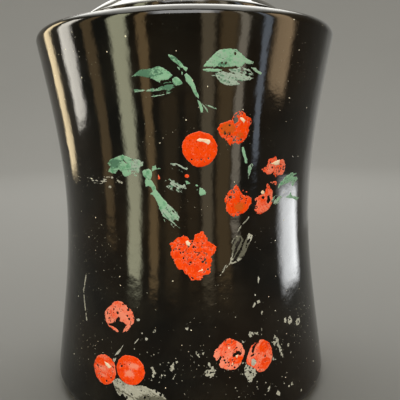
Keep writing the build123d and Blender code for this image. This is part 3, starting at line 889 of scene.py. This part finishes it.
leaf("leaf_right_top", (14.1, 184.0), lean=-16, keep=1.3, grip=0.22, fade=0.4, ragged=0.3,
    rubbed=[(-3, 1, 2.4, 1)],
    whole=[[(-12.5, 0), (-11.5, 1.5), (-8, 5), (-6, 6.5), (-3.5, 7), (-0.5, 7.6), (2.5, 7), (4, 6), (7, 4),
        (9, 3), (11.5, 2), (11, 1), (8.5, 1), (6.5, 1.5), (5.5, 0), (-7.5, -0.4)],
        [(-13, -1), (-5, -1.1), (-3.5, -1.5), (-5.5, -2.5), (-12.5, -2)],
        [(9.5, 0), (12.5, -0.5), (16, -2.5), (16, -3.5), (13, -2.5), (10.5, -1)]],
    thin=[[(-7, -3), (-4, -2), (1.5, -2.5), (4.5, -3.6), (7, -6.2), (4.6, -7.8), (-0.6, -8.4), (-3.8, -7.2),
        (-6.2, -5)], [(-5.8, -3.4), (-3, -2.4), (1, -3), (4, -5.6), (0.4, -7.4), (-3.6, -6.2)],
        [(-1.5, -1), (7, -0.5), (9.5, -1), (11.5, -3), (12, -5), (8, -6.5), (5, -6), (2.5, -3.5),
        (-0.5, -2)], [(-10.5, -4), (-8, -3.5), (-6.5, -4), (-9, -4.6)]],
    chips=[(2, 5.5, 0.45), (-4, 1.6, 0.4), (-2.4, 1.2, 0.4)])
leaf("leaf_left_middle", (-24.6, 139.4), lean=8, keep=1.1, grip=0.3, fade=0.1, rubbed=[(-3.5, 1.2, 4.4, 3)],
    whole=[[(-8, 1), (-6, 3), (-3, 4), (1.5, 5.5), (5.5, 4), (5.5, -0.6), (5.5, -4), (3.5, -5), (1.5, -5.5),
        (0, -3), (-1.5, -2), (-3.5, -4), (-5.5, -4), (-8, -3), (-6.5, -0.5)]],
    thin=[[(4, 4.5), (10.5, 3), (12, 2), (12, 0.5), (10, -1), (9.5, -3.5), (7.5, -5), (5.5, -4), (4, 0)]],
    cuts=[[(1.2, 3.3), (2.6, 2.4), (3.6, 1.4), (2.6, 1.6)]])
leaf("stem_middle", (-11.4, 123.0), lean=-52, keep=1.15, grip=0.45, fade=0.15,
    whole=[[(-6.5, 14), (-3, 15.5), (-1.5, 14), (-1.5, 12), (-2.5, 10), (-1, 8.5), (0, 5.5), (1.5, 3),
        (3.5, 0.5), (5.5, -1.5), (4, -5), (1.5, -4.5), (0, -0.5), (-1, 1.5), (-3, 3), (-1.5, 4), (-2, 6),
        (-3.5, 7), (-5, 6.5), (-5.5, 8.5), (-5, 10.5), (-6.5, 12)],
        [(-1.5, 16.5), (0.5, 17), (1, 15.5), (3, 15.5), (0.5, 14.5), (-1.5, 14)]],
    thin=[[(1, -4), (5, -1.4), (8, -4), (10, -6.5), (11, -8.5), (10.5, -10.5), (9, -9.5), (8, -10.5),
        (11.5, -14), (9.5, -13), (6.5, -10.5), (4, -9), (2, -6.5)],
        [(3, -9), (3.6, -9.4), (4.6, -11.6), (3.8, -11)], [(6, -10.5), (6.6, -10.7), (8.6, -13.8),
        (7.8, -13.5)]])
leaf("leaf_ghost", (-3.6, 132.6), lean=-34, grip=0.02, fade=0.85, fresh=[(4.8, -1, 2.4, 1.8)],
    whole=[[(3.5, 0), (5, 0), (6, -1.5), (4.5, -2)]],
    thin=[[(-7.5, 1.5), (-6.5, 0), (-3.5, 1), (-1, 0), (1, -1.5), (3.5, -2), (4.5, -4), (1, -5), (3, -6.6),
        (-2.5, -5), (-5.5, -3), (-7.5, -0.5)], [(-3, 8), (0, 8.5), (2, 7), (5, 6), (5.5, 4.5), (3.5, 5.5),
        (0.5, 6.5), (-2, 7.4)], [(-3.5, 6), (-1.5, 6.2), (0, 5.5), (-2, 5)],
        [(0, 5.5), (2, 4.6), (3, 3.5), (1, 4)]])
leaf("leaf_fleck", (4.6, 127.6), whole=[[(-0.5, 1.5), (1, 1), (3, -1), (2.6, -2.5), (0, -2.6), (-0.6, -1)]],
    daubs=[(-1.6, 2.4, 0.5, 0.4), (-1.5, 0.2, 0.4, 0.4)])
leaf("stem_short", (20.8, 143.6), lean=-70, ragged=0.15,
    whole=[[(-1.5, 4), (-0.5, 4), (0.5, 1.5), (1.5, -1.5), (2, -4), (0.5, -4), (0, -1.5), (-1.4, 2)]],
    thin=[[(2.5, -5.5), (4.5, -4), (5.5, -5), (4.5, -7), (3.5, -9.5), (3, -12), (2.4, -8.5)]])
leaf("leaf_far_right", (42.6, 129.6), lean=30, ragged=0.4, keep=0.8, fade=0.3,
    whole=[[(-7, -4.5), (-6.5, -2), (-3.5, -0.5), (-2, 1), (1.5, 2.5), (5, 3), (10, 2), (6.5, 1), (12, -1),
        (9, -2), (6.5, -5), (3, -2), (-0.5, -2.5), (-5, -3)],
        [(-1.5, -9.5), (3, -8.5), (4.5, -7.5), (6, -9.5), (10.5, -10.5), (15, -12), (12, -13), (6, -11),
        (2, -10.5)]], thin=[[(-10.5, -8.5), (-7.5, -7.5), (-2.5, -9), (-4, -11), (-8.5, -13), (-11, -11)]])
print("leaves and stems:", len(leaves))

# %% [markdown]
# Scuffs: chalky smears and scrapes where the jar has rubbed against others, mostly near the foot,
# where the wall stands out furthest. They lie on the glaze as the paint does, only thinner, and they
# go on round the back, which has no fruit.

# %% Scuffs
SCUFF_THICK = 0.05        # mm of residue
scuffs = []


def scuff(name, at, **look):
    """One smear, scrape or group of flecks."""
    scuffs.append(lay_paint(name, 500 + len(scuffs), residue, "jar_glaze", SCUFF_THICK, at, **look))


def crumbs(seed, count, across, up):
    """Tiny daubs scattered round a place, closer together near its middle."""
    draw = np.random.default_rng(seed)
    places, sizes = draw.normal((across, up), (9.0, 8.0), (count, 2)), draw.uniform(0.12, 0.34, (count, 2))
    return [(*place, *size) for place, size in zip(places.tolist(), sizes.tolist())]


scuff("scuff_wide", (-15.5, 24.0), ragged=0.4, keep=0.9, fade=0.3, combed=0.9, lean=-20,
    rubbed=[(4, -5, 12, 6)],
    whole=[[(-20.5, 3), (-17, 5.5), (-7.5, 3.5), (-3, 4.5), (5, 3), (8, 2), (11, -1.5), (15, -5.5),
        (11, -8), (4, -9), (-7, -10), (-11, -5), (-13.5, -1), (-15, -3.5), (-17.5, -1.5)]],
    chips=[(7.5, 1, 0.7), (-1, -1.5, 0.6), (-11, -3.5, 0.6)])
scuff("scuff_row", (-34.0, 133.6), keep=0.9, grip=-0.2, ragged=0.4,
    daubs=[(5, -5, 0.9, 0.6), (10, -1.5, 0.5, 0.5), (11, -2.2, 0.5, 0.4), (12, -2.6, 0.5, 0.4)],
    thin=[[(-15.5, 0.5), (-7, 0.5), (-6.5, -1), (-2.5, -2.5), (2, 0), (6, 1), (7.5, -0.5), (3, -2.5),
        (-2.5, -4.5), (-7, -4), (-9, -1.5), (-14, -1)]])
# the two long sides of a fruit's outline that the paint has left behind
left_trace = [(-3, 3), (-1, 4.5), (1, 4.5), (2.5, 2.5), (1.5, -0.5), (-1.5, -4.5), (-4, -8.5)]
right_trace = [(6, 5), (8, 3.5), (7, 1.5), (4.5, -2.5), (2, -7), (-1.5, -8.5)]
scuff("scuff_outline", (19.0, 99.0), lean=60, grip=0.1, ragged=0.34, keep=0.7, fade=0.1, combed=0.6,
    rubbed=[(1, -1, 6, 7)],
    lines=[(0.3, left_trace),
        (0.27, [(-3, 3), (-3.5, 1.5), (-2.5, -0.5), (-3, -4), (-4.4, -8.5), (-7, -11), (-10, -14.5)]),
        (0.32, right_trace + [(-3.5, -9)]), (0.27, [(6, 5), (4, 1.5), (2.5, -1.5), (1, -4.5), (-1, -7.5)]),
        (0.28, [(6, 13.5), (4.5, 12), (1.5, 9.5), (-0.5, 6.5)])],
    thin=[left_trace + [(-3.5, 1.5)], right_trace + [(1, -4.5), (2.5, -1.5), (4, 1.5)],
        [(-4, -8), (-7, -11), (-10, -14.5), (-10.6, -14), (-8, -10.5), (-5, -7.4)]])
scuff("scuff_low_middle", (2.0, 38.0), ragged=0.55, keep=0.35, combed=0.4, lean=60, chips=[(7, -2, 0.5)],
    whole=[[(-14.5, 3.5), (-12.5, 3.5), (-10, 5), (-9.5, 4), (-11, 1.5), (-11.5, -0.5), (-12.5, -1),
        (-14, 0.5)], [(-13, -5), (-10.5, -2), (-11, -4), (-11.5, -5.5), (-14, -5.8)],
        [(-17.5, -2.5), (-15.5, -3), (-16, -4), (-18, -3.5)],
        [(-23, 0.5), (-20, -2.5), (-21.5, -3.5), (-22, -5), (-23, -4), (-22.5, -1.5)],
        [(-3.5, 8), (-2, 7), (-2, 6)], [(0, 9), (1.5, 8.5), (1.5, 6.5), (0.5, 7)],
        [(1.5, 10.5), (4, 9), (3.5, 7.5), (2.5, 8.5)], [(3.5, -1), (6.5, 0), (7.5, 1), (8.5, -0.5),
        (9.5, -1), (8.5, -3.5), (6.5, -4.5), (4.5, -3)]],
    daubs=[(6.5, 2.5, 0.6, 0.8), (8.5, 1.5, 0.6, 0.7), (-4.5, 21, 0.8, 0.8), (-21.5, 19, 0.9, 0.9),
        (7, 16.5, 0.4, 0.5), (-6.5, 2.5, 0.5, 0.7), (-7, 0.5, 0.5, 0.7), (-6.5, -12, 0.8, 0.7),
        (10, -4, 0.4, 0.4)])
scuff("scuff_low_right", (27.0, 50.0), ragged=0.5, keep=0.42, fade=0.3, combed=0.4, lean=75, grip=0.6,
    whole=[[(-8, 2), (-7.5, 3), (-6.5, 4), (-5.5, 3), (-1.5, 3), (-1.5, 1), (-4.5, 1.5), (-5.5, 1)],
        [(0.5, 4), (1, 3.5), (0.5, 0.5), (-0.3, 0.5)], [(5.5, -4), (8, -4.5), (8.5, -1), (10, -3.5),
        (11.5, -4), (11, -6.5), (12.5, -9.5), (13, -12.5), (11.5, -11.5), (9.5, -7.5), (10, -11), (8.5, -9),
        (8, -6.5), (6, -5)], [(11.5, -12.5), (13.5, -13), (14, -15.5), (12.5, -15)],
        [(6, -11.5), (9, -14.5), (7.5, -15.5), (6, -14)], [(-12.5, 1), (-9.5, -0.5), (-11, -1)],
        [(-10, -14), (-8, -16.5), (-5, -16.5), (-3.5, -19), (-6.5, -19), (-8.5, -18)]],
    daubs=[(-7.8, -16.5, 3.4, 5), (11, 0, 0.9, 0.8), (12, -17, 0.6, 0.8), (18.5, -10, 0.9, 0.8),
        (20, -14.5, 0.6, 0.7), (1.5, 12, 0.5, 0.7), (2, 7.5, 0.4, 0.4), (-14.5, 12.5, 0.6, 0.4),
        (-12.5, 13.5, 0.4, 0.3)],
    thin=[[(-7.1, -10.2), (-5.1, -10.2), (-4.1, -12.7), (-5.6, -14.2), (-7.1, -13.2)]])
scuff("scuff_right_dabs", (42.0, 55.6), ragged=0.4, keep=0.7, fade=0.6, chips=[(8.4, -6.4, 0.7)],
    whole=[[(-4, -0.5), (-3, -0.5), (-2, -2), (-3, -3.5), (-4.5, -2.5)],
        [(0, -1), (1, -0.5), (2.5, -3), (2, -5), (-0.5, -5), (-2, -3.5)],
        [(6.5, -4.5), (10, -5), (10.5, -7), (8.5, -8.5), (6, -7.5)]])
scuff("scuff_right_flecks", (28.0, 68.0), ragged=0.2, fade=0.6, daubs=[(-3.5, 4, 0.5, 0.7)],
    whole=[[(-5.5, -2), (-4, 0.5), (-3, -0.5), (-5, -2.5)], [(-3, 1), (-1, 1), (-0.5, -0.5), (-2.5, -1)],
        [(-1.2, 14), (-0.4, 12), (-1.2, 9), (-1.6, 11.5)]])
scuff("scuff_foot_right", (29.5, 20.4), ragged=0.4, keep=0.7, fade=0.4,
    whole=[[(-2.5, 1), (-0.5, 3), (-0.5, 1.5), (-1.5, 0)],
        [(3, -2.5), (4.5, -1.5), (6, -3), (5.5, -4.5), (4, -3.5)],
        [(14, -1.5), (16, -1), (16.5, -2.5), (15, -3)]],
    daubs=[(9.5, 0.5, 0.5, 0.5), (13, -2, 0.5, 0.5), (-4, -1, 0.5, 0.5), (23, -8.5, 0.6, 0.5)])
scuff("scuff_crumbs_right", (22.0, 34.0), ragged=0.2, keep=2.0, daubs=crumbs(1, 90, 0, 0))
scuff("scuff_crumbs_left", (-12.0, 42.0), ragged=0.2, keep=2.0, daubs=crumbs(2, 60, 0, -4))
scuff("scuff_crumbs_far", (50.0, 46.0), ragged=0.2, keep=2.0, daubs=crumbs(3, 70, 0, 0))
scuff("scratch_left", (-25.0, 48.0), ragged=0.15, keep=1.0, fade=0.4,
    whole=[[(0, -0.5), (-2, -3), (-4.5, -5.5), (-5.5, -7.5), (-3, -6), (-1.5, -3.5)],
        [(-6.5, -9), (-4, -8), (-5, -10.5), (-6, -10.5)], [(9, 4.5), (7.5, 2), (5.5, -0.2), (6.5, 2)],
        [(7, 14), (8.5, 14.5), (9.5, 14), (9, 13), (7.5, 13)]],
    daubs=[(10.5, 7, 0.5, 0.5), (13, 4.5, 0.8, 0.8), (6.5, -1.5, 0.4, 0.4)])
scuff("scratch_far_left", (-45.0, 64.0), keep=0.6, ragged=0.3,
    lines=[(0.5, [(-2, 14), (-4, 5.5), (-2, -2.5), (0.5, -10)])])
scuff("scuff_back", (168.0, 30.0), grip=-0.1, lean=-6,
    thin=[[(-18, 3), (-4, 1.6), (10, 3.4), (9, -1), (-3, -4), (-14, -1)]])
scuff("scratch_back", (205.0, 70.0), keep=0.8, lines=[(0.35, [(-2, 9), (1, 0), (2.4, -8)])])
scuff("scuff_side", (96.0, 26.0), grip=-0.05, lean=5, thin=[[(-9, 1), (0, 3), (8, 0.6), (6, -2), (-4, -1.6)]])
print("scuffs:", len(scuffs))
